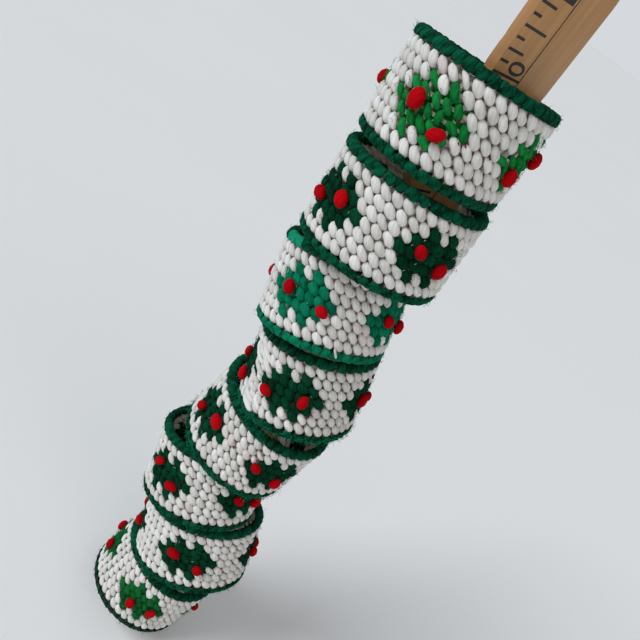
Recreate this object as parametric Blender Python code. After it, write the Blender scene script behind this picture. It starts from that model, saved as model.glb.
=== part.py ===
"""Eight needlepoint napkin rings threaded on a foot ruler.

Each ring is a strip of clear plastic canvas bent round and stitched with four holly sprigs. The
rings are loose on the ruler: they slide along it, and they lean and sit off centre as far as
their bores let them. The origin is the centre of the ruler's foot, +Z runs up the ruler, +X
across its width, and its marked face looks along -Y.
"""

import math
from collections import namedtuple

import bmesh
import bpy
from mathutils import Matrix, Vector

INCH = 0.0254
MM = 0.001
GAP = 0.0003

# Ruler
RULER_LENGTH = 12.0 * INCH
RULER_WIDTH = 1.125 * INCH
RULER_THICKNESS = 5 / 32 * INCH
RULER_CHAMFER = 0.0004

# Plastic canvas: a square mesh with seven bars to the inch
MESH = INCH / 7
COLUMNS = 40
SPRIGS = 4
RING_HEIGHT = 0.0320
MID_RADIUS = COLUMNS * MESH / math.tau
CANVAS_THICKNESS = 0.0013

# Yarn on the front of the canvas, behind it and over its edges
FRONT_RADIUS = 0.0248
STRAND_THICKNESS = 0.0009
HOLLY_STRAND_WIDTH = 0.0016
HOLLY_STRAND_ROW = 2
PEG_WIDTH = 0.0011
EDGE_RADIUS = 0.0251
EDGE_INNER_RADIUS = 0.0212
EDGE_DEPTH = 0.0031
EDGE_CROWN = 0.0012

# Knots that stand on the stitching as berries
KNOT_RADIUS = 0.0025
KNOT_HEIGHT = 0.0034
KNOT_SIDES = 6
KNOT_RINGS = 3

SEGMENTS = 16
SMOOTH_ANGLE = math.radians(40)

# A holly sprig's upper right corner points, in stitches from its middle
SPRIG_CORNERS = ((3.5, 0.5), (1.5, 2.5))
# The two knots of a sprig, in stitches from its middle: columns round the ring, rows up it.
# They were worked by eye, so some sprigs of some rings have their own places for them.
USUAL_KNOTS = ((-1.25, 0.25), (1.5, -0.5))
KNOTS = {
    (1, 2): ((-1, 0.25), (1.5, -1)),
    (1, 3): ((-1.75, -1), (0.75, 0.75)),
    (2, 2): ((-1, -0.5), (1.5, 0.5)),
    (2, 3): ((-1.5, 0.5), (1, -0.5)),
    (3, 2): ((-1, 0.25), (2.5, -0.5)),
    (4, 1): ((-0.5, 0), (1.25, -1.5)),
    (4, 2): ((-2.25, -0.5), (1.5, 0)),
    (5, 2): ((-1, -0.5), (1.75, 1)),
    (5, 3): ((-2.5, 0.75), (0.5, -0.5)),
    (6, 2): ((-1, 1), (1.5, -0.5)),
    (7, 2): ((-1.25, 0.5), (1.5, -0.75)),
    (8, 2): ((-0.75, -0.5), (1.75, 0)),
}
# How far a sprig stands from its even place, in stitches. On the fourth ring the overlapped
# ends of the canvas take up the stitches between two of the sprigs.
SPRIG_SHIFTS = {(4, 1): 2.5, (4, 2): 0.5}

# How each ring rests on the ruler, from the lowest up: where its centre is, how far its axis
# leans and towards which side, and how far it has turned on its own axis. A ring is also a
# little oval: longer by that part along its bearing, and shorter by as much across it. Lengths
# are in millimetres and angles in degrees; side or bearing 0 is +X and 90 is +Y.
Pose = namedtuple("Pose", "x y height lean side turn oval bearing")
RING_POSES = {
    8: Pose(-0.8, -2.2, -7.8, 16.5, -5, 41.0, 0.04, -14),
    7: Pose(1.5, -6.2, 34.1, 21.5, 84, 43.5, 0.035, -63),
    6: Pose(-2.0, 6.6, 65.2, 20.5, 74, 5.5, 0.01, -25),
    5: Pose(0.7, 1.0, 101.7, 9.5, -30, -13.5, 0, 0),
    4: Pose(1.9, -2.4, 138.15, 18.0, 85, 30.5, 0.12, 44),
    3: Pose(-1.9, 5.6, 170.3, 20.5, 74, 17.0, 0.08, 14),
    2: Pose(-5.4, 2.3, 206.1, 6.5, 56, -11.0, 0.04, 12),
    1: Pose(-4.0, 5.5, 240.6, 5.5, 50, 19.5, 0.04, 29),
}

CLEAR = (0.85, 0.87, 0.88)
WHITE = (0.80, 0.78, 0.75)
BERRY_RED = (0.52, 0.005, 0.01)
RULER_TAN = (0.42, 0.24, 0.10)
EDGE_GREEN = (0.008, 0.10, 0.055)
LEAF_GREEN = (0.006, 0.05, 0.025)
BRIGHT_GREEN = (0.01, 0.17, 0.05)
EMERALD = (0.01, 0.16, 0.10)
# The rings whose yarn is a different green from the others'
HOLLY_GREENS = {1: BRIGHT_GREEN, 3: EMERALD}
LOWER_EDGE_GREENS = {3: EMERALD}

CANVAS_BACK = MID_RADIUS - CANVAS_THICKNESS / 2
CANVAS_FRONT = MID_RADIUS + CANVAS_THICKNESS / 2
FRONT_BACK = CANVAS_FRONT + GAP
STRAND_FRONT = CANVAS_BACK - GAP
STRAND_BACK = STRAND_FRONT - STRAND_THICKNESS
CANVAS_HALF_HEIGHT = RING_HEIGHT / 2 - EDGE_CROWN - GAP
STITCH_HALF_HEIGHT = RING_HEIGHT / 2 - EDGE_DEPTH - GAP


def clear_scene():
    for obj in list(bpy.data.objects):
        bpy.data.objects.remove(obj)


def material(name, colour, roughness, metallic=0.0):
    made = bpy.data.materials.new(name)
    made.use_nodes = True
    shader = made.node_tree.nodes["Principled BSDF"]
    shader.inputs["Base Color"].default_value = (*colour, 1)
    shader.inputs["Roughness"].default_value = roughness
    shader.inputs["Metallic"].default_value = metallic
    return made


def place(mesh, name, parent=None, transform=Matrix()):
    obj = bpy.data.objects.new(name, mesh)
    bpy.context.collection.objects.link(obj)
    obj.parent = parent
    obj.matrix_local = transform
    return obj


def helper(bm, name):
    """An object for a Boolean to read, from a bmesh that is finished with."""
    mesh = bpy.data.meshes.new(name)
    bmesh.ops.recalc_face_normals(bm, faces=bm.faces)
    bm.to_mesh(mesh)
    bm.free()
    obj = place(mesh, name)
    obj.hide_render = True
    obj.display_type = "WIRE"
    return obj


def carve(base, *steps):
    """The mesh of a base helper after each (operation, helper) step, shaded smooth."""
    for number, (operation, other) in enumerate(steps):
        modifier = base.modifiers.new(f"{operation}_{number}", "BOOLEAN")
        modifier.operation = operation
        modifier.object = other
    graph = bpy.context.evaluated_depsgraph_get()
    mesh = bpy.data.meshes.new_from_object(base.evaluated_get(graph))
    mesh.name = base.name
    mesh.shade_smooth()
    mesh.set_sharp_from_angle(angle=SMOOTH_ANGLE)
    for obj in {base, *(other for _, other in steps)}:
        bpy.data.objects.remove(obj)
    return mesh


def turned(profile, name):
    """A closed ring: a closed outline of (radius, height) points turned about the Z axis."""
    bm = bmesh.new()
    points = [bm.verts.new((radius, 0, height)) for radius, height in profile]
    sides = [bm.edges.new((points[i - 1], points[i])) for i in range(len(points))]
    bmesh.ops.spin(
        bm,
        geom=points + sides,
        cent=(0, 0, 0),
        axis=(0, 0, 1),
        angle=math.tau,
        steps=SEGMENTS,
        use_merge=True,
    )
    return helper(bm, name)


def sleeve(inner, outer, low, high, name):
    return turned(((outer, low), (outer, high), (inner, high), (inner, low)), name)


def angle_at(ring, sprig, column):
    shifted = column + SPRIG_SHIFTS.get((ring, sprig), 0)
    return math.tau * (sprig / SPRIGS + shifted / COLUMNS)


def radial_bars(outline, bearings, inner, outer, name):
    """One bar for each (angle, height), with an outline of (across, up) points."""
    bm = bmesh.new()
    for angle, height in bearings:
        out = Vector((math.cos(angle), math.sin(angle), 0))
        across = Vector((-out.y, out.x, 0))
        up = Vector((0, 0, 1))
        corners = [
            bm.verts.new(out * inner + across * s + up * (height + z)) for s, z in outline
        ]
        start = bm.faces.new(corners)
        grown = bmesh.ops.extrude_face_region(bm, geom=[start], use_keep_orig=True)
        moved = [part for part in grown["geom"] if isinstance(part, bmesh.types.BMVert)]
        bmesh.ops.translate(bm, verts=moved, vec=out * (outer - inner))
    return helper(bm, name)


def square(width):
    half = width / 2
    return ((half, -half), (half, half), (-half, half), (-half, -half))


def sprig_outline(margin):
    """The sprig's eight-sided outline, with its columns laid on the chord that they span."""
    corners = []
    for column, row in SPRIG_CORNERS:
        across = FRONT_RADIUS * math.sin(column * math.tau / COLUMNS)
        corners.append((across + margin, row * MESH + margin))
    right = [(s, -z) for s, z in reversed(corners)] + corners
    return tuple(right + [(-s, -z) for s, z in right])


def sprig_bearings(ring, row=0):
    return [(angle_at(ring, sprig, 0), row * MESH) for sprig in range(SPRIGS)]


def peg_bearings(ring):
    return sprig_bearings(ring, HOLLY_STRAND_ROW)


def knot_bearings(ring):
    return [
        (angle_at(ring, sprig, column), row * MESH)
        for sprig in range(SPRIGS)
        for column, row in KNOTS.get((ring, sprig), USUAL_KNOTS)
    ]


def holes_for(bearings, name):
    """Cutters that let a peg through with a gap all round, longer than any wall they cross."""
    return radial_bars(square(PEG_WIDTH + 2 * GAP), bearings, STRAND_BACK, EDGE_RADIUS + GAP, name)


def canvas_mesh(ring):
    tube = sleeve(CANVAS_BACK, CANVAS_FRONT, -CANVAS_HALF_HEIGHT, CANVAS_HALF_HEIGHT, "canvas")
    windows = holes_for(peg_bearings(ring) + knot_bearings(ring), "windows")
    return carve(tube, ("DIFFERENCE", windows))


def ground_mesh(ring):
    """The white stitching, open where the holly is worked."""
    front = sleeve(FRONT_BACK, FRONT_RADIUS, -STITCH_HALF_HEIGHT, STITCH_HALF_HEIGHT, "ground")
    openings = radial_bars(
        sprig_outline(GAP), sprig_bearings(ring), STRAND_BACK, EDGE_RADIUS + GAP, "openings"
    )
    return carve(front, ("DIFFERENCE", openings))


def holly_mesh(ring):
    """Four sprigs, each joined by a peg to the strand that is carried behind the canvas."""
    front = sleeve(FRONT_BACK, FRONT_RADIUS, -STITCH_HALF_HEIGHT, STITCH_HALF_HEIGHT, "holly")
    sprigs = radial_bars(
        sprig_outline(0), sprig_bearings(ring), STRAND_BACK, EDGE_RADIUS + GAP, "sprigs"
    )
    middle = HOLLY_STRAND_ROW * MESH
    half = HOLLY_STRAND_WIDTH / 2
    strand = sleeve(STRAND_BACK, STRAND_FRONT, middle - half, middle + half, "holly_strand")
    pegs = radial_bars(
        square(PEG_WIDTH),
        peg_bearings(ring),
        STRAND_BACK + STRAND_THICKNESS / 2,
        (FRONT_BACK + FRONT_RADIUS) / 2,
        "holly_pegs",
    )
    holes = holes_for(knot_bearings(ring), "knot_holes")
    return carve(
        front,
        ("INTERSECT", sprigs),
        ("DIFFERENCE", holes),
        ("UNION", pegs),
        ("UNION", strand),
    )


def knots(ring, name):
    """Low domes that stand clear of the stitching, one over each post."""
    bm = bmesh.new()
    squash = Matrix.Diagonal((KNOT_RADIUS, KNOT_RADIUS, KNOT_HEIGHT / 2, 1))
    for angle, height in knot_bearings(ring):
        middle = Vector((FRONT_RADIUS + GAP + KNOT_HEIGHT / 2, 0, height))
        turn = Matrix.Rotation(angle, 4, "Z") @ Matrix.Translation(middle)
        stand = Matrix.Rotation(math.pi / 2, 4, "Y")
        bmesh.ops.create_uvsphere(
            bm, u_segments=KNOT_SIDES, v_segments=KNOT_RINGS, radius=1, matrix=turn @ stand @ squash
        )
    return helper(bm, name)


def berry_mesh(ring):
    """The knots, their posts through the canvas, and the strand carried behind it."""
    half = max(abs(height) for _, height in knot_bearings(ring)) + PEG_WIDTH / 2
    strand = sleeve(STRAND_BACK, STRAND_FRONT, -half, half, "berry")
    posts = radial_bars(
        square(PEG_WIDTH),
        knot_bearings(ring),
        STRAND_BACK + STRAND_THICKNESS / 2,
        FRONT_RADIUS + GAP + KNOT_HEIGHT / 2,
        "berry_posts",
    )
    return carve(strand, ("UNION", posts), ("UNION", knots(ring, "berry_knots")))


def edge_mesh():
    """A whipped edge: a channel that closes over the canvas, with its crown at the rim."""
    rim = RING_HEIGHT / 2
    foot = rim - EDGE_DEPTH
    shoulder = rim - EDGE_CROWN
    profile = (
        (EDGE_RADIUS, foot),
        (EDGE_RADIUS, shoulder),
        (MID_RADIUS, rim),
        (EDGE_INNER_RADIUS, shoulder),
        (EDGE_INNER_RADIUS, foot),
        (STRAND_FRONT, foot),
        (STRAND_FRONT, shoulder),
        (FRONT_BACK, shoulder),
        (FRONT_BACK, foot),
    )
    return carve(turned(profile, "edge"))


def ruler():
    bm = bmesh.new()
    size = Matrix.Diagonal((RULER_WIDTH, RULER_THICKNESS, RULER_LENGTH, 1))
    middle = Matrix.Translation((0, 0, RULER_LENGTH / 2))
    bmesh.ops.create_cube(bm, size=1, matrix=middle @ size)
    mesh = bpy.data.meshes.new("ruler")
    bm.to_mesh(mesh)
    bm.free()
    mesh.materials.append(material("ruler_wood", RULER_TAN, 0.55))
    obj = place(mesh, "ruler")
    bevel = obj.modifiers.new("eased_edges", "BEVEL")
    bevel.width = RULER_CHAMFER
    bevel.segments = 1
    return obj


def ring_frame(pose):
    """The placement of a ring: turned on its axis, pressed oval, leaned, then moved."""
    turn = Matrix.Rotation(math.radians(pose.turn), 4, "Z")
    bearing = Matrix.Rotation(math.radians(pose.bearing), 4, "Z")
    press = bearing @ Matrix.Diagonal((1 + pose.oval, 1 - pose.oval, 1, 1)) @ bearing.inverted()
    side = math.radians(pose.side)
    hinge = Vector((-math.sin(side), math.cos(side), 0))
    lean = Matrix.Rotation(math.radians(pose.lean), 4, hinge)
    return Matrix.Translation(Vector((pose.x, pose.y, pose.height)) * MM) @ lean @ press @ turn


def rings():
    edge = edge_mesh()
    looks = {
        "canvas": material("clear_canvas", CLEAR, 0.25),
        "ground_yarn": material("white_yarn", WHITE, 0.9),
        "berry_yarn": material("red_yarn", BERRY_RED, 0.85),
    }
    upside_down = Matrix.Rotation(math.pi, 4, "X")
    for number, pose in RING_POSES.items():
        frame = bpy.data.objects.new(f"ring_{number}", None)
        bpy.context.collection.objects.link(frame)
        frame.matrix_local = ring_frame(pose)
        greens = {
            "holly_yarn": HOLLY_GREENS.get(number, LEAF_GREEN),
            "upper_edge_yarn": EDGE_GREEN,
            "lower_edge_yarn": LOWER_EDGE_GREENS.get(number, EDGE_GREEN),
        }
        shapes = {
            "canvas": canvas_mesh(number),
            "ground_yarn": ground_mesh(number),
            "holly_yarn": holly_mesh(number),
            "berry_yarn": berry_mesh(number),
            "upper_edge_yarn": edge.copy(),
            "lower_edge_yarn": edge.copy(),
        }
        for piece, mesh in shapes.items():
            flip = upside_down if piece == "lower_edge_yarn" else Matrix()
            obj = place(mesh, f"{piece}_{number}", frame, flip)
            look = looks.get(piece) or material(f"{piece}_green_{number}", greens[piece], 0.9)
            obj.data.materials.clear()
            obj.data.materials.append(look)


def main():
    clear_scene()
    ruler()
    rings()


main()
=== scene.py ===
"""The looks of eight needlepoint napkin rings threaded on a foot ruler.

Every ring is stitched strand by strand. A strand is a closed tube laid out on the unrolled
canvas: x runs round the ring at the canvas's mid radius, y up the ring's axis and z out of the
canvas. Ring.wrap then bends those flat points round the place where the CAD nodes stand.
"""
import math
from collections import namedtuple

import bpy
import numpy as np
from mathutils import Euler, Matrix, Vector


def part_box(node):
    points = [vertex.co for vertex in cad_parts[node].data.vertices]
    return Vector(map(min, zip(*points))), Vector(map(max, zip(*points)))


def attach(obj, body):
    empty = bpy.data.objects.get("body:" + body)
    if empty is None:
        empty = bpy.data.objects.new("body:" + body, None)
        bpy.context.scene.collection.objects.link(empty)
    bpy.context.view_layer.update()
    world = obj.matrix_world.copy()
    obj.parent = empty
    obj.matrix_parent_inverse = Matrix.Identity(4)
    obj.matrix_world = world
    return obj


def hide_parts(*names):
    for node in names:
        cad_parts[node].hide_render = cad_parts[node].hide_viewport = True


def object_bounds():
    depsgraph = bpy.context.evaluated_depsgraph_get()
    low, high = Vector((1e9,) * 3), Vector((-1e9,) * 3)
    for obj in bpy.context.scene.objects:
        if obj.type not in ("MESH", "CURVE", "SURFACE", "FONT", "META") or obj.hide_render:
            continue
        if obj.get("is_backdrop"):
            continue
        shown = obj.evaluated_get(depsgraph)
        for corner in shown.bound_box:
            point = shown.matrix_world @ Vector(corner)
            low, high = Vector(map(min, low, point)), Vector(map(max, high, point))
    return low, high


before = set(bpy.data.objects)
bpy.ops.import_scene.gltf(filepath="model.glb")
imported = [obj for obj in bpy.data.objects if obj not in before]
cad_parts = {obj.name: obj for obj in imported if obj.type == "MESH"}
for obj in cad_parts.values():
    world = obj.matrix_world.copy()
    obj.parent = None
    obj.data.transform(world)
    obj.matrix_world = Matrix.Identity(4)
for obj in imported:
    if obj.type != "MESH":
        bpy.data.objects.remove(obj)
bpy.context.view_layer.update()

MM = 0.001
INCH = 0.0254

# Canvas: seven bars to the inch, forty columns round and seven rows of stitches
PITCH = INCH / 7
COLUMNS = 40
LEAF_ROW = 2
TOP_ROW = 3
RIM_ROW = 4
CANVAS_RADIUS = COLUMNS * PITCH / math.tau
CANVAS_HALF = 0.65 * MM
BAR_HALF = 0.5 * MM
CANVAS_BEVEL = 0.16 * MM
SPRIGS = 4

# The pattern of two twisted plies repeats in this length, and swells a strand by this share
PLY_LENGTH = 3.4 * MM
STITCH_PLY = 0.045
WRAP_PLY = 0.13
# Painted shade: how much darker a strand's colour is made at its sides, where it meets the next strand,
# and in the grooves between its plies
CREASE_SHADE_SHARE = 0.6
PLY_GROOVE_SHADE_SHARE = 3

# How far a strand's last rings stand from its very ends, as a share of its half length
END_SHARE = 0.985

# Front stitches, and how much one differs from the next
STITCH_REACH = 2.5 * MM
STITCH_WIDTH = 1.41 * MM
STITCH_THICKNESS = 0.86 * MM
STITCH_RISE = 1.15 * MM
STITCH_SUNK = 0.1 * MM
STITCH_RINGS = 10
STITCH_SIDES = 10
STITCH_SHIFT = 0.1 * MM
STITCH_BOW = 0.12 * MM
SLANT_SPREAD = 0.07
REACH_SPREAD = 0.03
RISE_SPREAD = 0.07
TAPER_SPREAD = 0.05
WIDTH_SPREAD = 0.06
RAGGED_SHARE = 3

# Strands that carry the yarn behind the canvas
BACK_REACH = (PITCH * 1.05, PITCH * 0.52)
BACK_WIDTH = 1.25 * MM
BACK_THICKNESS = 0.5 * MM
BACK_INNER = 0.55 * MM
BACK_SAG = 0.75 * MM
BACK_SHIFT = 0.15 * MM
BACK_SPREAD = 0.06
BACK_RINGS = 6
BACK_SIDES = 7

# Whipped edges
WRAP_FOOT = 13.2 * MM
WRAP_CREST = 2.05 * MM
WRAP_DEPTH = 1.25 * MM
WRAP_WIDTH = 2.0 * MM
WRAP_THICKNESS = 0.76 * MM
WRAP_SLANT = 1.0 * MM
WRAP_SHIFT = 0.1 * MM
WRAP_OVERLAP = 0.25
WRAP_LEAN_SPREAD = 0.18
WRAP_CREST_SPREAD = 0.03
WRAP_WIDTH_SPREAD = 0.06
WRAP_RINGS = 19
WRAP_SIDES = 14

# Knots that stand as berries
KNOT_LENGTH = 2.5 * MM
KNOT_WIDTH = 1.9 * MM
KNOT_THICKNESS = 1.75 * MM
KNOT_CENTRE = 2.85 * MM
KNOT_SAG = 0.5 * MM
KNOT_SLANT = math.radians(105)
KNOT_SLANT_SPREAD = 0.7
KNOT_SIZE_SPREAD = 0.05
KNOT_WRAPS = 4
KNOT_RIDGE = 0.03
KNOT_RINGS = 17
KNOT_SIDES = 18

# The red strand from knot to knot
CARRIED_SPAN = 6 * PITCH
CARRIED_DEPTH = 1.5 * MM
CARRIED_RISE = 1.2 * MM
CARRIED_WIDTH = 0.55 * MM
CARRIED_THICKNESS = 0.35 * MM
CARRIED_RINGS = 8
CARRIED_SIDES = 8

# Loose strands, red ends and fibres
LOOSE_THICKNESS = 0.7 * MM
LOOSE_BOW = 0.3 * MM
LOOSE_DIP = 0.6
LOOSE_SUNK = 0.1 * MM
LOOSE_RINGS = 12
LOOSE_SIDES = 10
RED_END_HALF = 0.5 * MM
RED_END_SLOPE = 0.14
RED_END_WIDTH = 0.2 * MM
RED_END_OUT = 1.7 * MM
FIBRE_RADIUS = 0.065 * MM
FIBRE_RINGS = 7
FIBRE_SIDES = 3
FIBRE_CURL = 0.3
LOW_ROOT = 1.7 * MM
HIGH_ROOT = 1.9 * MM
HOLLY_ROOT = 1.95 * MM
SHORT_FIBRE = 1.1 * MM
USUAL_FIBRE = 1.5 * MM
LONG_FIBRE = 2.6 * MM
GROUND_BAND = 11 * MM
EDGE_BAND = (13 * MM, 15.6 * MM)
GROUND_FIBRES = 30
EDGE_FIBRES = 150
FUZZY_EDGE_FIBRES = 260
HOLLY_FIBRES = 7
HOLLY_SCATTER = 0.3 * PITCH

# Ruler scale: lengths of its ticks, and the size of its numbers
SCALE_ZERO = 4 * MM
SCALE_INCHES = 12
TICK_WIDTH = 0.75 * MM
TICKS = {8: 13.1 * MM, 4: 10.5 * MM, 2: 7.2 * MM, 1: 3.8 * MM}
INK_HEIGHT = 0.05 * MM
INK_MARGIN = 0.25 * MM
LINE_HALF = 0.18 * MM
MID_LINE = -1.2 * MM
DIGIT_HEIGHT = 6.9 * MM
DIGIT_WIDTH = 3.8 * MM
DIGIT_MIDDLE = -5.7 * MM
DIGIT_SPACING = 5.4 * MM
DIGIT_WEIGHT = 0.004
NARROW_DIGIT = 0.6

# Ruler edges
EDGE_RADIUS = 0.8 * MM
END_BEVEL = 0.5 * MM
CORNER_STEPS = 4
RULER_LEVELS = 240
WEAR_WAVES = 6
NICK_START = 0.35
NICK_DEPTH = 0.7 * MM
NICK_FACE_SHARE = 0.6

# Details of single rings, by bearing round the ring in degrees and row of stitches.
# Wraps: bearing and size. Marks: bearing, row, half width in degrees and strength.
THIN_WRAPS = {
    2: ((-162, 0.8), (-150, 0.78), (-134, 0.8)),
    8: ((177, 0.75), (-169, 0.7), (-161, 0.78), (-153, 0.75)),
}
EMERALD_WRAPS = {3: (150, 183)}
FUZZY_LOWER_EDGES = (4, 5)
MARKS = {
    1: ((-166, 3, 5, 0.15),),
    3: ((-101, 0, 6, 0.14), (-101, -1, 10, 0.12), (-102, -2, 6, 0.16)),
    4: ((-122, -1, 6, 0.2),),
    5: ((-141, 1, 6, 0.14), (-153, 1, 6, 0.12)),
    6: ((-139, -2, 6, 0.2),),
}
RED_ENDS = {
    1: ((-132.5, -0.7), (-128, -0.5), (-109.3, -0.4), (-139.8, 0.65)),
    4: ((-122.4, -1.4),),
    5: ((-153, 0.7), (-149.6, 1.1)),
}
THIN_STITCHES = {1: ((-151, 3, 5), (-151, 1, 5)), 5: ((-133.5, 1, 5), (-133.5, 2, 5))}
# Loose white strands: bearing and row of each end, half width, and how far it stands out
Loose = namedtuple("Loose", "start end width out")
LOOSE_STRANDS = {
    3: (Loose((-119, -3.3), (-115, -4.1), 0.4 * MM, 2.1 * MM),),
    4: (
        Loose((163, 2.7), (182, 1.9), 0.9 * MM, 2.0 * MM),
        Loose((163, 2.0), (181, 1.2), 0.9 * MM, 1.9 * MM),
        Loose((168, 2.7), (187, 1.6), 0.85 * MM, 2.1 * MM),
        Loose((172, 2.9), (190, 1.8), 0.9 * MM, 1.9 * MM),
        Loose((178, 2.3), (192, 0.9), 1.2 * MM, 2.3 * MM),
        Loose((167, 1.1), (184, 0.2), 1.0 * MM, 1.9 * MM),
        Loose((165, 0.2), (181, -0.8), 1.0 * MM, 1.8 * MM),
        Loose((166, -1.2), (182, -1.6), 0.95 * MM, 1.8 * MM),
        Loose((167, -2.0), (185, -2.7), 1.1 * MM, 2.0 * MM),
        Loose((168, -2.9), (186, -3.6), 1.1 * MM, 1.9 * MM),
        Loose((184, -1.8), (194, -2.9), 1.1 * MM, 2.0 * MM),
    ),
}
THIN_STITCH = 0.6
RING_COUNT = 8


def unit(vectors):
    return vectors / np.linalg.norm(vectors, axis=-1, keepdims=True)


def node_points(name):
    """The distinct corners of a CAD node."""
    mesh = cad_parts[name].data
    points = np.empty(len(mesh.vertices) * 3)
    mesh.vertices.foreach_get("co", points)
    return np.unique(np.round(points.reshape(-1, 3), 7), axis=0)


def groups_round(angles, count):
    """Bearings round a circle, split into groups at its widest gaps."""
    order = np.sort(angles % math.tau)
    start = np.diff(np.append(order, order[0] + math.tau)).argmax() + 1
    order = np.concatenate((order[start:], order[:start] + math.tau))
    cuts = np.sort(np.argsort(np.diff(order))[1 - count:]) + 1
    return np.split(order, cuts)


class Ring:
    """Where a ring stands: its axis, how it is pressed oval, and where its sprigs and knots are."""

    def __init__(self, number):
        self.number = number
        self.random = np.random.default_rng(number)
        upper = node_points(f"upper_edge_yarn_{number}")
        lower = node_points(f"lower_edge_yarn_{number}")
        self.centre = (upper.mean(0) + lower.mean(0)) / 2
        self.axis = unit(upper.mean(0) - lower.mean(0))
        east = unit(np.array((1.0, 0.0, 0.0)) - self.axis[0] * self.axis)
        self.plane = np.stack((east, np.cross(self.axis, east)))
        flat = (upper - upper.mean(0)) @ self.plane.T
        spread, bearings = np.linalg.eigh(flat.T @ flat)
        stretch = np.sqrt(spread)
        self.press = bearings @ np.diag(stretch / stretch.mean()) @ bearings.T
        self.sprigs = self.find_sprigs()
        self.knots = self.find_knots()

    def unroll(self, points):
        away = points - self.centre
        flat = away @ self.plane.T @ np.linalg.inv(self.press)
        return np.arctan2(flat[:, 1], flat[:, 0]), np.hypot(flat[:, 0], flat[:, 1]), away @ self.axis

    def wrap(self, flat):
        angle = flat[..., 0] / CANVAS_RADIUS
        radius = CANVAS_RADIUS + flat[..., 2]
        across = np.stack((np.cos(angle) * radius, np.sin(angle) * radius), -1) @ self.press
        return self.centre + across @ self.plane + flat[..., 1:2] * self.axis

    def find_sprigs(self):
        """Each sprig's bearing, from the window that its green strand goes through."""
        angle, _, height = self.unroll(node_points(f"canvas_{self.number}"))
        windows = angle[np.abs(height / PITCH - LEAF_ROW) < 0.4]
        return [(group[0] + group[-1]) / 2 for group in groups_round(windows, SPRIGS)]

    def find_knots(self):
        """Each knot's bearing and height, from the top of its dome."""
        angle, radius, height = self.unroll(node_points(f"berry_yarn_{self.number}"))
        tops = radius > radius.max() - 0.3 * MM
        return list(zip(angle[tops], height[tops]))

    def columns(self):
        """The bearing of each column of stitches, and its number in the nearest sprig's chart."""
        places = []
        for here, there in zip(self.sprigs, self.sprigs[1:] + [self.sprigs[0] + math.tau]):
            steps = round((there - here) * COLUMNS / math.tau)
            for step in range(steps):
                offset = step if step <= steps / 2 else step - steps
                places.append((here + (there - here) * step / steps, offset))
        return places


def in_holly(column, row):
    """The sprig's chart: a row of seven, two rows of five, and two leaf tips at each end."""
    if abs(row) == LEAF_ROW:
        return abs(column) == 1
    return abs(row) <= 1 and abs(column) <= 3 - abs(row)


def bearing_gap(angle, degrees):
    """Degrees between a bearing in radians and one in degrees."""
    return abs((math.degrees(angle) - degrees + 180) % 360 - 180)


class Yarn:
    """Strands of one colour, gathered into one mesh."""

    def __init__(self, ring, name):
        self.ring = ring
        self.name = name
        self.points, self.faces, self.fibre, self.strand = [], [], [], []
        self.count = 0

    def tubes(self, path, across, wide, thick, sides, tint=0.0, ply=0.0):
        """Closed tubes. Paths and their sideways directions are (strand, station, 3).

        The attribute "fibre" holds a point's place in its strand in millimetres: along it, across
        it and out of it. The attribute "strand" holds the strand's own random tone, its tint, and
        the painted shade at the point: darker at the strand's sides, where it meets the next
        strand, and in the grooves between its plies.
        """
        strands, stations, _ = path.shape
        angle = np.arange(sides) * math.tau / sides
        normal = unit(np.cross(np.gradient(path, axis=1), across))
        sideways = wide[..., None, None] * np.cos(angle)[:, None] * across[:, :, None]
        outward = thick[..., None, None] * np.sin(angle)[:, None] * normal[:, :, None]
        run = np.cumsum(np.linalg.norm(np.diff(path, axis=1, prepend=path[:, :1]), axis=2), 1)
        start = self.random().uniform(0, 60, (strands, 1, 1)) * MM
        twist = np.cos(2 * angle - (run[..., None] + start) / PLY_LENGTH * math.tau)
        swell = (1 + ply * twist)[..., None]
        points = (path[:, :, None] + (sideways + outward) * swell).reshape(-1, 3)
        points = self.ring.wrap(points) if self.ring else points
        index = np.arange(strands * stations * sides).reshape(strands, stations, sides)
        index = index + self.count
        near, far = index[:, :-1], index[:, 1:]
        quads = np.stack((near, np.roll(near, -1, 2), np.roll(far, -1, 2), far), -1)
        quads = quads.reshape(-1, 4)
        ends = np.concatenate((index[:, 0, ::-1], index[:, -1]))
        if self.turned_in(points, quads[: sides * (stations - 1)]):
            quads = quads[:, ::-1]
            ends = ends[:, ::-1]
        fibre = np.stack(
            np.broadcast_arrays(
                run[..., None] + start,
                wide[..., None] * np.cos(angle),
                thick[..., None] * np.sin(angle),
            ),
            -1,
        )
        shade = self.random().uniform(0, 1, strands)
        look = np.zeros((strands, stations, sides, 3))
        look[..., 0] = shade[:, None, None]
        look[..., 1] = np.broadcast_to(tint, strands)[:, None, None]
        # Painted shade: darker at the strand's sides and in the grooves between its plies
        look[..., 2] = CREASE_SHADE_SHARE * np.abs(np.cos(angle)) ** 3 + PLY_GROOVE_SHADE_SHARE * ply * (1 - twist)
        self.points.append(points)
        self.faces.extend(quads.tolist())
        self.faces.extend(ends.tolist())
        self.fibre.append(fibre.reshape(-1, 3) / MM)
        self.strand.append(look.reshape(-1, 3))
        self.count += len(points)

    def random(self):
        return self.ring.random

    def turned_in(self, points, quads):
        """True if the first tube's faces point into it."""
        corners = points[quads - self.count] - points[0]
        volume = np.einsum("ij,ij->i", corners[:, 0], np.cross(corners[:, 1], corners[:, 2]))
        volume += np.einsum("ij,ij->i", corners[:, 0], np.cross(corners[:, 2], corners[:, 3]))
        return volume.sum() < 0

    def build(self, look):
        name = f"{self.name}_{self.ring.number}"
        mesh = bpy.data.meshes.new(name)
        mesh.from_pydata(np.concatenate(self.points).tolist(), [], self.faces)
        mesh.shade_smooth()
        for title, values in (("fibre", self.fibre), ("strand", self.strand)):
            layer = mesh.attributes.new(title, "FLOAT_VECTOR", "POINT")
            layer.data.foreach_set("vector", np.concatenate(values).astype(np.float32).ravel())
        obj = add_object(mesh, name, look)
        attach(obj, f"ring_{self.ring.number}")
        return obj


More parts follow.
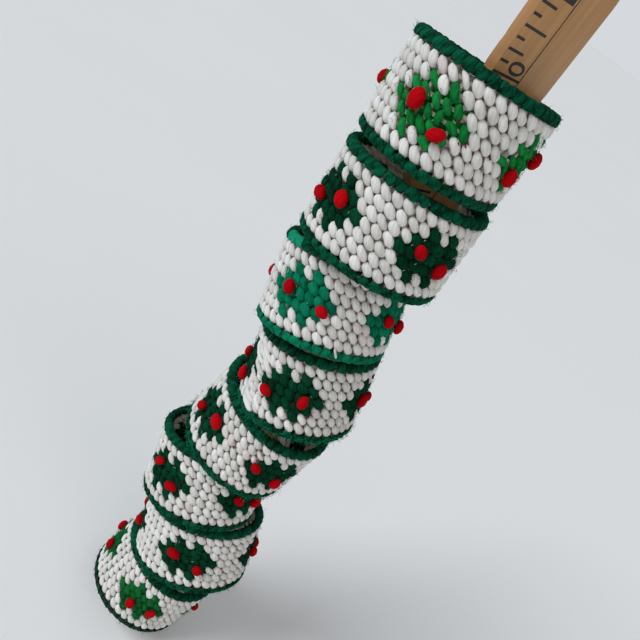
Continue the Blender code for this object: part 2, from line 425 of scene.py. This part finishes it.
def add_object(mesh, name, look):
    obj = bpy.data.objects.new(name, mesh)
    bpy.context.scene.collection.objects.link(obj)
    mesh.materials.append(look)
    return obj


# --- strands on the unrolled canvas ---------------------------------------------------------


def stations(count):
    """Places along a strand from -1 to 1, closer together at its ends."""
    return END_SHARE * np.sin(np.linspace(-math.pi / 2, math.pi / 2, count))


def add_stitches(yarn, centres, size=1.0, tint=0.0):
    """Plump grains, each laid from the hole above left to the hole below right."""
    if len(centres) == 0:
        return
    rng = yarn.random()
    centres = np.array(centres, float)
    count = len(centres)
    along = stations(STITCH_RINGS)
    ragged = RAGGED_SHARE if size < 1 else 1
    slant = -math.pi / 4 + rng.normal(0, SLANT_SPREAD * ragged, (count, 1))
    reach = STITCH_REACH * (1 + rng.normal(0, REACH_SPREAD * ragged, (count, 1)))
    shift = rng.normal(0, STITCH_SHIFT * ragged, (count, 2))
    bow = rng.normal(0, STITCH_BOW, (count, 1)) * (1 - along**2)
    rise = STITCH_RISE * (1 + rng.normal(0, RISE_SPREAD, (count, 1)))
    path = np.stack(
        (
            centres[:, :1] + shift[:, :1] + np.cos(slant) * reach * along - np.sin(slant) * bow,
            centres[:, 1:] + shift[:, 1:] + np.sin(slant) * reach * along + np.cos(slant) * bow,
            rise * (1 - np.abs(along) ** 3) - STITCH_SUNK,
        ),
        -1,
    )
    taper = 1 + TAPER_SPREAD * rng.normal(0, 1, (count, 1)) * along
    plump = np.sqrt(1 - np.abs(along) ** 3.0) * taper
    wide = STITCH_WIDTH * size * plump * (1 + rng.normal(0, WIDTH_SPREAD, (count, 1)))
    thick = STITCH_THICKNESS * min(1.0, size * 1.15) * plump
    across = np.stack((-np.sin(slant), np.cos(slant), np.zeros_like(slant)), -1)
    across = np.broadcast_to(across, path.shape)
    yarn.tubes(path, across, wide, thick, STITCH_SIDES, tint, STITCH_PLY)


def add_backs(yarn, centres):
    """The long slanting strands that carry the yarn behind the canvas."""
    rng = yarn.random()
    centres = np.array(centres, float)
    count = len(centres)
    along = stations(BACK_RINGS)
    reach_x, reach_y = BACK_REACH
    path = np.stack(
        (
            centres[:, :1] + reach_x * along + rng.normal(0, BACK_SHIFT, (count, 1)),
            centres[:, 1:] + reach_y * along + rng.normal(0, BACK_SHIFT, (count, 1)),
            -BACK_INNER - BACK_SAG * (1 - along**4) + np.zeros((count, 1)),
        ),
        -1,
    )
    slant = math.atan2(reach_y, reach_x)
    plump = np.sqrt(1 - np.abs(along) ** 4) * (1 + rng.normal(0, BACK_SPREAD, (count, 1)))
    across = np.broadcast_to((-math.sin(slant), math.cos(slant), 0.0), path.shape)
    yarn.tubes(path, across, BACK_WIDTH * plump, BACK_THICKNESS * plump, BACK_SIDES)


def add_wraps(yarn, holes, side, sizes, tint=0.0):
    """Yarn whipped over an edge, once through each hole. Side is 1 for the upper edge."""
    rng = yarn.random()
    count = len(holes)
    along = stations(WRAP_RINGS)
    turn = math.pi / 2 - along * (math.pi / 2 + WRAP_OVERLAP)
    lean = WRAP_SLANT * (1 + rng.normal(0, WRAP_LEAN_SPREAD, (count, 1)))
    crest = WRAP_CREST * (1 + rng.normal(0, WRAP_CREST_SPREAD, (count, 1)))
    middle = np.array(holes)[:, None] + rng.normal(0, WRAP_SHIFT, (count, 1))
    path = np.stack(
        (
            middle + side * lean * np.cos(turn),
            side * (WRAP_FOOT + crest * np.sin(turn)),
            WRAP_DEPTH * np.cos(turn) + np.zeros((count, 1)),
        ),
        -1,
    )
    plump = (1 - np.abs(along) ** 6) ** 0.5 * np.ones((count, 1))
    size = np.array(sizes)[:, None] * (1 + rng.normal(0, WRAP_WIDTH_SPREAD, (count, 1)))
    tangent = unit(np.gradient(path, axis=1))
    across = unit(np.array((1.0, 0.0, 0.0)) - tangent[..., :1] * tangent)
    wide = WRAP_WIDTH * size * plump
    yarn.tubes(path, across, wide, WRAP_THICKNESS * plump, WRAP_SIDES, tint, WRAP_PLY)


def add_knots(yarn, places):
    """Coiled knots: plump ovals with the yarn's turns just visible round them."""
    rng = yarn.random()
    count = len(places)
    along = stations(KNOT_RINGS)
    slant = KNOT_SLANT + rng.normal(0, KNOT_SLANT_SPREAD, (count, 1))
    size = 1 + rng.normal(0, KNOT_SIZE_SPREAD, (count, 1))
    reach = KNOT_LENGTH * size * along
    places = np.array(places)
    path = np.stack(
        (
            places[:, :1] + np.cos(slant) * reach,
            places[:, 1:] + np.sin(slant) * reach,
            KNOT_CENTRE - KNOT_SAG * along**2 + np.zeros((count, 1)),
        ),
        -1,
    )
    coil = 1 + KNOT_RIDGE * np.cos(along * math.pi * KNOT_WRAPS + rng.uniform(0, 6, (count, 1)))
    plump = np.sqrt(1 - along**2 * 0.99) * coil * size
    across = np.stack((-np.sin(slant), np.cos(slant), np.zeros_like(slant)), -1)
    across = np.broadcast_to(across, path.shape)
    yarn.tubes(path, across, KNOT_WIDTH * plump, KNOT_THICKNESS * plump, KNOT_SIDES)


def add_carried(yarn, knots):
    """The red strand that is carried behind the canvas from one knot of a sprig to the other."""
    knots = sorted(knots)
    pairs = [
        (a, b) for a, b in zip(knots, knots[1:] + knots[:1])
        if abs(a[0] - b[0]) < CARRIED_SPAN
    ]
    ends = np.array(pairs)
    along = (stations(CARRIED_RINGS) + 1) / 2
    path = np.zeros((len(pairs), len(along), 3))
    path[..., :2] = ends[:, :1] + (ends[:, 1:] - ends[:, :1]) * along[None, :, None]
    path[..., 2] = -CARRIED_DEPTH + CARRIED_RISE * (2 * along - 1) ** 6
    run = unit(ends[:, 1] - ends[:, 0])
    across = np.stack((-run[:, 1], run[:, 0], np.zeros(len(run))), -1)
    across = np.broadcast_to(across[:, None], path.shape)
    plump = np.broadcast_to(np.sqrt(1 - (2 * along - 1) ** 6 * 0.97), path.shape[:2])
    yarn.tubes(path, across, CARRIED_WIDTH * plump, CARRIED_THICKNESS * plump, CARRIED_SIDES)


def add_loose(yarn, strands, tint=0.0):
    """Single strands that lie over the stitching, sagging into it at their ends."""
    for strand in strands:
        rng = yarn.random()
        ends = [(math.radians(b) * CANVAS_RADIUS, row * PITCH) for b, row in (strand.start, strand.end)]
        along = stations(LOOSE_RINGS)[None, :]
        middle = (np.array(ends[0]) + ends[1]) / 2
        half = (np.array(ends[1]) - ends[0]) / 2
        across = unit(np.array((-half[1], half[0], 0.0)))
        bow = rng.uniform(-LOOSE_BOW, LOOSE_BOW) * (1 - along**2)
        path = np.stack(
            (
                middle[0] + half[0] * along + across[0] * bow,
                middle[1] + half[1] * along + across[1] * bow,
                strand.out * (1 - LOOSE_DIP * along**4) - LOOSE_SUNK,
            ),
            -1,
        )
        plump = np.sqrt(1 - along**6)
        across = np.broadcast_to(across, path.shape)
        thick = min(LOOSE_THICKNESS, strand.width)
        yarn.tubes(path, across, strand.width * plump, thick * plump, LOOSE_SIDES, tint)


def add_red_ends(yarn, places):
    """Short ends of red yarn caught between white stitches."""
    for bearing, row in places:
        half = math.degrees(RED_END_HALF / CANVAS_RADIUS)
        upper = (bearing - half, row + RED_END_SLOPE)
        lower = (bearing + half, row - RED_END_SLOPE)
        add_loose(yarn, (Loose(upper, lower, RED_END_WIDTH, RED_END_OUT),), 1.0)


def scattered(ring, count, low, high):
    """Places all round a ring, between two heights."""
    rng = ring.random
    return np.stack((rng.uniform(0, COLUMNS * PITCH, count), rng.uniform(low, high, count)), -1)


def add_fuzz(yarn, roots, out, length, tint=0.0):
    """Loose fibres that stand off the yarn in slack curls."""
    rng = yarn.random()
    count = len(roots)
    along = np.linspace(0, 1, FIBRE_RINGS)
    start = np.column_stack((roots, np.full(count, out)))
    heading = unit(rng.normal(0, 1, (count, 3)) * (1, 1, 0.45) + (0, 0, 0.25))
    curl = unit(np.cross(heading, rng.normal(0, 1, (count, 3))))
    reach = length * rng.uniform(0.5, 1.2, (count, 1, 1))
    swing = np.sin(along * math.pi * 1.2)[None, :, None] * reach * FIBRE_CURL
    path = start[:, None] + heading[:, None] * reach * along[None, :, None] + curl[:, None] * swing
    across = np.broadcast_to(unit(np.cross(heading, curl))[:, None], path.shape)
    radius = np.broadcast_to(FIBRE_RADIUS * (1.1 - 0.6 * along), path.shape[:2])
    yarn.tubes(path, across, radius, radius, FIBRE_SIDES, tint)


def canvas_grid(ring, look):
    """The clear moulded mesh: forty uprights and nine hoops, as one closed band with holes."""
    centres = [angle * CANVAS_RADIUS for angle, _ in ring.columns()]
    lines = np.array([[c - BAR_HALF, c + BAR_HALF] for c in centres]).ravel()
    hoops = [row * PITCH for row in range(-RIM_ROW, RIM_ROW + 1)]
    rows = np.array([[h - BAR_HALF, h + BAR_HALF] for h in hoops]).ravel()
    wide, tall = len(lines), len(rows)
    flat = np.zeros((2, wide, tall, 3))
    flat[..., 0] = lines[None, :, None]
    flat[..., 1] = rows[None, None, :]
    flat[0, ..., 2] = CANVAS_HALF
    flat[1, ..., 2] = -CANVAS_HALF
    points = ring.wrap(flat).reshape(-1, 3)

    def corner(face, i, j):
        return (face * wide + i % wide) * tall + j

    faces = []
    for i in range(wide):
        for j in range(tall - 1):
            if i % 2 and j % 2:
                sides = ((i, j, i + 1, j), (i + 1, j, i + 1, j + 1),
                         (i + 1, j + 1, i, j + 1), (i, j + 1, i, j))
                for a, b, c, d in sides:
                    side = (corner(0, a, b), corner(0, c, d), corner(1, c, d), corner(1, a, b))
                    faces.append(side[::-1])
            else:
                face = [(i, j), (i + 1, j), (i + 1, j + 1), (i, j + 1)]
                faces.append([corner(0, *c) for c in face])
                faces.append([corner(1, *c) for c in face[::-1]])
        for j, step in ((0, 1), (tall - 1, -1)):
            rim = (corner(0, i, j), corner(1, i, j), corner(1, i + 1, j), corner(0, i + 1, j))
            faces.append(rim[::step])
    name = f"canvas_mesh_{ring.number}"
    mesh = bpy.data.meshes.new(name)
    mesh.from_pydata(points.tolist(), [], faces)
    obj = add_object(mesh, name, look)
    bevel = obj.modifiers.new("moulded_edges", "BEVEL")
    bevel.width = CANVAS_BEVEL
    bevel.segments = 1
    bevel.limit_method = "ANGLE"
    mesh.shade_smooth()
    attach(obj, f"ring_{ring.number}")
    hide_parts(f"canvas_{ring.number}")


# --- materials --------------------------------------------------------------------------------


class Shader:
    """A material's node tree, with short calls for the nodes used here."""

    def __init__(self, name, roughness):
        self.material = bpy.data.materials.new(name)
        self.material.use_nodes = True
        self.tree = self.material.node_tree
        self.surface = self.tree.nodes["Principled BSDF"]
        self.surface.inputs["Roughness"].default_value = roughness

    def node(self, kind, links=None, values=None, **settings):
        made = self.tree.nodes.new(kind)
        for key, value in settings.items():
            setattr(made, key, value)
        for key, value in (values or {}).items():
            made.inputs[key].default_value = value
        for key, socket in (links or {}).items():
            self.tree.links.new(socket, made.inputs[key])
        return made

    def maths(self, operation, first, second):
        """One sum, where each term is a socket or a number."""
        made = self.node("ShaderNodeMath", operation=operation)
        for place, term in enumerate((first, second)):
            if isinstance(term, (int, float)):
                made.inputs[place].default_value = term
            else:
                self.tree.links.new(term, made.inputs[place])
        return made.outputs[0]

    def noise(self, vector, scale, detail=3.0, stretch=(1, 1, 1)):
        mapped = self.node("ShaderNodeMapping", {"Vector": vector}, {"Scale": stretch})
        made = self.node(
            "ShaderNodeTexNoise", {"Vector": mapped.outputs[0]}, {"Scale": scale, "Detail": detail}
        )
        return made.outputs[0]

    def mix(self, share, first, second):
        """A colour between two colours or sockets."""
        made = self.node("ShaderNodeMix", data_type="RGBA")
        for place, term in ((0, share), (6, first), (7, second)):
            if isinstance(term, (tuple, float, int)):
                made.inputs[place].default_value = (*term, 1) if isinstance(term, tuple) else term
            else:
                self.tree.links.new(term, made.inputs[place])
        return made.outputs[2]

    def spread(self, value, low, high):
        """A value from 0 to 1 as it goes from low to high."""
        made = self.node("ShaderNodeMapRange", {"Value": value}, {"From Min": low, "From Max": high})
        return made.outputs[0]

    def colour(self, socket):
        self.tree.links.new(socket, self.surface.inputs["Base Color"])

    def bump(self, height, strength, distance):
        made = self.node(
            "ShaderNodeBump", {"Height": height}, {"Strength": strength, "Distance": distance}
        )
        self.tree.links.new(made.outputs[0], self.surface.inputs["Normal"])


def yarn_look(name, deep, pale, tint):
    """Plied yarn: slanting plies, fibres that run along it, a tone of its own per strand, and painted
    shade in its creases and ply grooves.
    """
    look = Shader(name, 0.86)
    fibre = look.node("ShaderNodeAttribute", attribute_name="fibre").outputs["Vector"]
    strand = look.node("ShaderNodeAttribute", attribute_name="strand").outputs["Vector"]
    parts = look.node("ShaderNodeSeparateXYZ", {0: strand}).outputs
    place = look.node("ShaderNodeSeparateXYZ", {0: fibre}).outputs
    lengthways = look.maths("MULTIPLY", place[0], 2.4)
    slope = look.maths("ADD", lengthways, look.maths("MULTIPLY", place[1], 4.6))
    ply = look.maths("ADD", look.maths("MULTIPLY", look.maths("SINE", slope, 0.0), 0.5), 0.5)
    hairs = look.noise(fibre, 2.6, 4.0, (0.4, 2.6, 2.6))
    blotch = look.noise(fibre, 0.35, 2.0)
    share = look.maths("MULTIPLY", parts[0], 0.42)
    # The ply pattern also darkens the colour in the grooves between plies: painted shade
    share = look.maths("ADD", share, look.maths("MULTIPLY", ply, 0.2))
    share = look.maths("ADD", share, look.maths("MULTIPLY", look.spread(hairs, 0.3, 0.7), 0.28))
    share = look.maths("ADD", share, look.maths("MULTIPLY", look.spread(blotch, 0.35, 0.65), 0.14))
    # Painted shade: darker in the creases between strands and in the grooves between plies
    share = look.maths("SUBTRACT", share, look.maths("MULTIPLY", parts[2], 0.45))
    base = look.mix(share, deep, pale)
    look.colour(look.mix(parts[1], base, tint))
    height = look.maths("ADD", look.maths("MULTIPLY", ply, 0.6), look.maths("MULTIPLY", hairs, 1.0))
    look.bump(height, 0.6, 0.2 * MM)
    look.surface.inputs["Sheen Weight"].default_value = 0.15
    look.surface.inputs["Sheen Roughness"].default_value = 0.45
    look.surface.inputs["Sheen Tint"].default_value = (*pale, 1)
    look.surface.inputs["Specular IOR Level"].default_value = 0.04
    return look.material


def canvas_look():
    """Clear, slightly yellowed plastic with soft moulded highlights."""
    look = Shader("clear_canvas_look", 0.14)
    place = look.node("ShaderNodeTexCoord").outputs["Object"]
    cloud = look.noise(place, 400.0)
    look.colour(look.mix(look.spread(cloud, 0.3, 0.7), (0.46, 0.40, 0.30), (0.66, 0.60, 0.50)))
    look.bump(cloud, 0.2, 0.1 * MM)
    look.surface.inputs["Transmission Weight"].default_value = 0.35
    look.surface.inputs["IOR"].default_value = 1.49
    return look.material


def wood_look():
    """Varnished hardwood: grain along the ruler, handled edges, and bare wood at its sides."""
    look = Shader("ruler_wood_look", 0.42)
    place = look.node("ShaderNodeTexCoord").outputs["Object"]
    grain = look.noise(place, 420.0, 6.0, (1, 1, 0.035))
    broad = look.noise(place, 90.0, 3.0, (1, 1, 0.06))
    pores = look.noise(place, 1500.0, 2.0, (1, 1, 0.02))
    face = look.mix(look.spread(grain, 0.32, 0.68), (0.36, 0.172, 0.048), (0.51, 0.262, 0.084))
    streaks = look.maths("MULTIPLY", look.spread(broad, 0.35, 0.65), 0.45)
    face = look.mix(streaks, face, (0.53, 0.265, 0.078))
    specks = look.maths("MULTIPLY", look.spread(pores, 0.60, 0.72), 0.45)
    face = look.mix(specks, face, (0.20, 0.10, 0.04))
    normal = look.node("ShaderNodeNewGeometry").outputs["Normal"]
    side = look.maths("ABSOLUTE", look.node("ShaderNodeSeparateXYZ", {0: normal}).outputs[0], 0.0)
    wear = look.maths("ADD", side, look.maths("MULTIPLY", look.spread(broad, 0.4, 0.8), 0.3))
    bare = look.mix(look.spread(grain, 0.3, 0.7), (0.36, 0.170, 0.054), (0.46, 0.232, 0.086))
    look.colour(look.mix(look.spread(wear, 0.45, 0.85), face, bare))
    look.bump(look.maths("ADD", grain, look.maths("MULTIPLY", pores, 0.5)), 0.25, 0.1 * MM)
    look.surface.inputs["Coat Weight"].default_value = 0.25
    look.surface.inputs["Coat Roughness"].default_value = 0.3
    return look.material


def ink_look():
    """Printing ink, rubbed thin here and there."""
    look = Shader("scale_ink_look", 0.6)
    place = look.node("ShaderNodeTexCoord").outputs["Object"]
    rubbed = look.spread(look.noise(place, 900.0, 4.0), 0.56, 0.76)
    worn = look.maths("MULTIPLY", rubbed, 0.6)
    look.colour(look.mix(worn, (0.020, 0.016, 0.014), (0.11, 0.07, 0.035)))
    return look.material


def floor_look():
    look = Shader("floor_look", 0.8)
    place = look.node("ShaderNodeTexCoord").outputs["Object"]
    look.colour(look.mix(look.noise(place, 3.0), (0.87, 0.87, 0.86), (0.91, 0.91, 0.90)))
    return look.material


PINK = (0.55, 0.20, 0.22)
EMERALD = ((0.001, 0.095, 0.046), (0.005, 0.270, 0.140), (0.05, 0.30, 0.18))
DARK_GREEN = ((0.0005, 0.016, 0.006), (0.003, 0.080, 0.034), PINK)
LEAF_GREEN = ((0.003, 0.060, 0.012), (0.012, 0.180, 0.045), PINK)
BRIGHT_GREEN = ((0.002, 0.110, 0.018), (0.015, 0.330, 0.070), PINK)
EDGE_GREEN = ((0.001, 0.022, 0.010), (0.003, 0.130, 0.062), (0.008, 0.28, 0.15))
DULL_GREEN = ((0.002, 0.020, 0.010), (0.010, 0.080, 0.045), PINK)
WHITE = ((0.56, 0.54, 0.50), (0.90, 0.89, 0.87), PINK)
BERRY_RED = ((0.26, 0.0005, 0.002), (0.58, 0.003, 0.009), (0.10, 0.002, 0.005))
HOLLY_GREENS = {1: ("bright", BRIGHT_GREEN), 3: ("emerald", EMERALD), 8: ("leaf", LEAF_GREEN)}
LOWER_GREENS = {3: ("emerald", EMERALD), 8: ("dull", DULL_GREEN)}
THIN_HOLLY = {1: 0.8}
PLUMP_HOLLY = 1.16
looks = {}


def look_for(name, colours):
    if name not in looks:
        looks[name] = yarn_look(f"{name}_yarn_look", *colours)
    return looks[name]


# --- the pieces -------------------------------------------------------------------------------


def mark_at(ring, angle, row):
    """How strongly a stitch has taken up red dye."""
    for bearing, mark_row, width, strength in MARKS.get(ring.number, ()):
        if mark_row == row and bearing_gap(angle, bearing) < width:
            return strength
    return 0.0


def is_thin(ring, angle, row):
    places = THIN_STITCHES.get(ring.number, ())
    return any(row == r and bearing_gap(angle, bearing) < width for bearing, r, width in places)


def stitching(ring):
    """The white ground and the green sprigs, with the strands behind them."""
    front = {"ground": [], "holly": [], "thin": []}
    backs = {"ground": [], "holly": []}
    marks = []
    for angle, column in ring.columns():
        for row in range(-TOP_ROW, TOP_ROW + 1):
            kind = "holly" if in_holly(column, row) else "ground"
            place = (angle * CANVAS_RADIUS, row * PITCH)
            backs[kind].append(place)
            if kind == "ground" and is_thin(ring, angle, row):
                kind = "thin"
            front[kind].append(place)
            if kind == "ground":
                marks.append(mark_at(ring, angle, row))
    ground = Yarn(ring, "white_stitches")
    add_stitches(ground, front["ground"], 1.0, np.array(marks))
    add_stitches(ground, front["thin"], THIN_STITCH)
    add_backs(ground, backs["ground"])
    add_loose(ground, LOOSE_STRANDS.get(ring.number, ()))
    roots = scattered(ring, GROUND_FIBRES, -GROUND_BAND, GROUND_BAND)
    add_fuzz(ground, roots, LOW_ROOT, SHORT_FIBRE)
    obj = ground.build(look_for("white", WHITE))
    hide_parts(f"ground_yarn_{ring.number}")
    name, colours = HOLLY_GREENS.get(ring.number, ("dark", DARK_GREEN))
    holly = Yarn(ring, "holly_stitches")
    add_stitches(holly, front["holly"], THIN_HOLLY.get(ring.number, PLUMP_HOLLY))
    add_backs(holly, backs["holly"])
    roots = np.repeat(front["holly"], HOLLY_FIBRES, axis=0)
    roots = roots + ring.random.normal(0, HOLLY_SCATTER, roots.shape)
    add_fuzz(holly, roots, HOLLY_ROOT, USUAL_FIBRE)
    obj = holly.build(look_for(name, colours))
    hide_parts(f"holly_yarn_{ring.number}")


def edges(ring):
    columns = [angle for angle, _ in ring.columns()]
    following = columns[1:] + [columns[0] + math.tau]
    holes = [(a + b) / 2 * CANVAS_RADIUS for a, b in zip(columns, following)]
    lower = LOWER_GREENS.get(ring.number, ("edge", EDGE_GREEN))
    for side, place, (name, colours) in ((1, "upper", ("edge", EDGE_GREEN)), (-1, "lower", lower)):
        sizes = np.ones(len(holes))
        for bearing, size in THIN_WRAPS.get(ring.number, ()) if side > 0 else ():
            gaps = [bearing_gap(hole / CANVAS_RADIUS, bearing) for hole in holes]
            sizes[int(np.argmin(gaps))] = size
        yarn = Yarn(ring, f"{place}_edge_wraps")
        first, last = EMERALD_WRAPS.get(ring.number, (0, 0)) if side > 0 else (0, 0)
        tint = [float(first < math.degrees(hole / CANVAS_RADIUS) % 360 < last) for hole in holes]
        add_wraps(yarn, holes, side, sizes, np.array(tint))
        band = sorted(side * end for end in EDGE_BAND)
        if side < 0 and ring.number in FUZZY_LOWER_EDGES:
            add_fuzz(yarn, scattered(ring, FUZZY_EDGE_FIBRES, *band), HIGH_ROOT, LONG_FIBRE, 1.0)
        add_fuzz(yarn, scattered(ring, EDGE_FIBRES, *band), LOW_ROOT, USUAL_FIBRE, 0.5)
        obj = yarn.build(look_for(name, colours))
        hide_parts(f"{place}_edge_yarn_{ring.number}")


def berries(ring):
    places = [(angle * CANVAS_RADIUS, height) for angle, height in ring.knots]
    yarn = Yarn(ring, "berry_knots")
    add_knots(yarn, places)
    add_red_ends(yarn, RED_ENDS.get(ring.number, ()))
    add_carried(yarn, places)
    obj = yarn.build(look_for("berry", BERRY_RED))
    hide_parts(f"berry_yarn_{ring.number}")


# --- ruler ------------------------------------------------------------------------------------


def ruler_body(look):
    """The wooden strip, with its long edges rubbed round and nicked here and there."""
    low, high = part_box("ruler")
    half = Vector((high.x - low.x, high.y - low.y)) / 2
    radius = EDGE_RADIUS
    rng = np.random.default_rng(12)
    outline = []
    for sx, sy, start in ((1, 1, 0), (-1, 1, 1), (-1, -1, 2), (1, -1, 3)):
        for step in range(CORNER_STEPS + 1):
            angle = (start + step / CORNER_STEPS) * math.pi / 2
            outline.append((sx, sy, math.cos(angle), math.sin(angle)))
    levels = np.linspace(low.z, high.z, RULER_LEVELS)
    phases = rng.uniform(0, math.tau, (4, WEAR_WAVES))
    waves = rng.uniform(60, 900, (4, WEAR_WAVES))
    points = []
    for level in levels:
        inset = max(0.0, END_BEVEL - min(level - low.z, high.z - level))
        for sx, sy, c, s in outline:
            corner = (sx > 0) * 2 + (sy > 0)
            wear = np.sin(waves[corner] * level + phases[corner]).mean()
            nick = max(0.0, wear - NICK_START) * NICK_DEPTH
            x = sx * (half.x - radius - inset) + c * radius - sx * nick * abs(c)
            y = sy * (half.y - radius - inset) + s * radius - sy * nick * NICK_FACE_SHARE * abs(s)
            points.append((x, y, level))
    sides = len(outline)
    faces = []
    for level in range(len(levels) - 1):
        for here in range(sides):
            there = (here + 1) % sides
            near, far = level * sides, (level + 1) * sides
            faces.append((near + here, near + there, far + there, far + here))
    faces.append(tuple(range(sides))[::-1])
    faces.append(tuple(range(len(points) - sides, len(points))))
    mesh = bpy.data.meshes.new("ruler_strip")
    mesh.from_pydata(points, [], faces)
    mesh.shade_smooth()
    mesh.set_sharp_from_angle(angle=math.radians(50))
    obj = add_object(mesh, "ruler_strip", look)
    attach(obj, "ruler")
    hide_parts("ruler")


def add_block(points, faces, low, high):
    """A printed bar on the marked face, as a thin block from one corner to the other."""
    first = len(points)
    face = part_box("ruler")[0].y
    corners = ((low[0], low[1]), (high[0], low[1]), (high[0], high[1]), (low[0], high[1]))
    for y in (face - INK_HEIGHT, face + INK_HEIGHT):
        points.extend((x, y, z) for x, z in corners)
    for side in ((0, 1, 2, 3), (7, 6, 5, 4), (0, 4, 5, 1), (1, 5, 6, 2), (2, 6, 7, 3), (3, 7, 4, 0)):
        faces.append(tuple(first + corner for corner in side))


def digit_mesh(digit, middle):
    """One digit that reads up the ruler, as a thin solid on its marked face."""
    curve = bpy.data.curves.new("digit", "FONT")
    curve.body = digit
    curve.extrude = 1
    curve.offset = DIGIT_WEIGHT
    curve.resolution_u = 4
    obj = bpy.data.objects.new("digit", curve)
    bpy.context.scene.collection.objects.link(obj)
    graph = bpy.context.evaluated_depsgraph_get()
    mesh = bpy.data.meshes.new_from_object(obj.evaluated_get(graph))
    bpy.data.objects.remove(obj)
    points = np.array([v.co for v in mesh.vertices])
    size = points.max(0) - points.min(0)
    centre = (points.max(0) + points.min(0)) / 2
    width = DIGIT_WIDTH * (NARROW_DIGIT if digit == "1" else 1)
    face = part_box("ruler")[0].y
    for vertex, (along, up, out) in zip(mesh.vertices, (points - centre) / size):
        across = DIGIT_MIDDLE - up * DIGIT_HEIGHT
        vertex.co = (across, face - out * 2 * INK_HEIGHT, middle + along * width)
    return mesh


def ruler_scale(look):
    """Inch ticks from the left edge, a line down the middle, and the inches' numbers."""
    low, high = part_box("ruler")
    left = low.x + INK_MARGIN
    points, faces = [], []
    for eighth in range(SCALE_INCHES * 8):
        size = next(step for step in TICKS if eighth % step == 0)
        height = SCALE_ZERO + eighth * INCH / 8
        if height < high.z - MM:
            start = (left, height - TICK_WIDTH / 2)
            end = (low.x + TICKS[size], height + TICK_WIDTH / 2)
            add_block(points, faces, start, end)
    add_block(points, faces, (MID_LINE - LINE_HALF, low.z + MM), (MID_LINE + LINE_HALF, high.z - MM))
    mesh = bpy.data.meshes.new("ruler_scale")
    mesh.from_pydata(points, [], faces)
    obj = add_object(mesh, "ruler_scale", look)
    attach(obj, "ruler")
    for inch in range(1, SCALE_INCHES):
        digits = str(inch).rjust(2)
        for digit, side in zip(digits, (-1, 1)):
            if digit == " ":
                continue
            middle = SCALE_ZERO + inch * INCH + side * DIGIT_SPACING / 2
            name = f"ruler_number_{inch}_{'tens' if side < 0 else 'ones'}"
            mark = add_object(digit_mesh(digit, middle), name, look)
            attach(mark, "ruler")


# --- stage ------------------------------------------------------------------------------------


FLOOR_SIZE = 40
FLOOR_GAP = 0.2 * MM
AIR_COLOUR = (0.88, 0.93, 1.0, 1)
AIR_STRENGTH = 0.33
BACKDROP_COLOUR = (0.66, 0.69, 0.72, 1)


def stage():
    low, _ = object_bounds()
    bpy.ops.mesh.primitive_plane_add(size=FLOOR_SIZE, location=(0, 0, low.z - FLOOR_GAP))
    floor = bpy.context.object
    floor.name = "floor"
    floor.data.materials.append(floor_look())
    floor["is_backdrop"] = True
    bpy.context.scene.view_settings.view_transform = "Standard"


def studio_air():
    """Soft light from all round, in front of a backdrop as pale as the floor."""
    world = bpy.data.worlds.new("studio")
    world.use_nodes = True
    tree = world.node_tree
    light = tree.nodes["Background"]
    light.inputs[0].default_value = AIR_COLOUR
    light.inputs[1].default_value = AIR_STRENGTH
    backdrop = tree.nodes.new("ShaderNodeBackground")
    backdrop.inputs[0].default_value = BACKDROP_COLOUR
    seen = tree.nodes.new("ShaderNodeLightPath")
    mix = tree.nodes.new("ShaderNodeMixShader")
    tree.links.new(seen.outputs["Is Camera Ray"], mix.inputs[0])
    tree.links.new(light.outputs[0], mix.inputs[1])
    tree.links.new(backdrop.outputs[0], mix.inputs[2])
    tree.links.new(mix.outputs[0], tree.nodes["World Output"].inputs[0])
    bpy.context.scene.world = world


def soft_light(name, source, strength, width, colour):
    """Even light from one side of the studio, as wide as a large diffuser."""
    data = bpy.data.lights.new(name, "SUN")
    data.angle = math.radians(width)
    data.energy = strength
    data.color = colour
    lamp = bpy.data.objects.new(name, data)
    bpy.context.scene.collection.objects.link(lamp)
    lamp.rotation_euler = (-source).to_track_quat("-Z", "Y").to_euler()


# Each light: name, the direction it comes from, strength, width in degrees, colour
LIGHTS = (
    ("key", Vector((-0.66, 0.36, 0.62)), 2.0, 30, (0.91, 0.96, 1.0)),
    ("fill", Vector((-0.30, -0.85, 0.50)), 0.62, 60, (1.0, 0.94, 0.88)),
)

CAMERA_PLACE = Vector((-161.24, -112.51, 277.78)) * MM
CAMERA_HEADING = math.radians(36.38)
CAMERA_PITCH = math.radians(-31.26)
CAMERA_ROLL = math.radians(-35.90)
CAMERA_LENS = 36.48


def camera():
    data = bpy.data.cameras.new("camera")
    data.lens = CAMERA_LENS
    data.sensor_width = 36
    data.clip_start = 0.01
    obj = bpy.data.objects.new("camera", data)
    bpy.context.scene.collection.objects.link(obj)
    ahead = Euler((math.pi / 2 + CAMERA_PITCH, 0, CAMERA_HEADING - math.pi / 2), "XYZ").to_matrix()
    turned = (ahead @ Matrix.Rotation(-CAMERA_ROLL, 3, "Z")).to_4x4()
    obj.matrix_world = Matrix.Translation(CAMERA_PLACE) @ turned
    bpy.context.scene.camera = obj


def main():
    canvas = canvas_look()
    for number in range(1, RING_COUNT + 1):
        ring = Ring(number)
        stitching(ring)
        edges(ring)
        berries(ring)
        canvas_grid(ring, canvas)
    ruler_body(wood_look())
    ruler_scale(ink_look())
    stage()
    studio_air()
    for name, source, strength, width, colour in LIGHTS:
        soft_light(name, source, strength, width, colour)
    camera()


main()
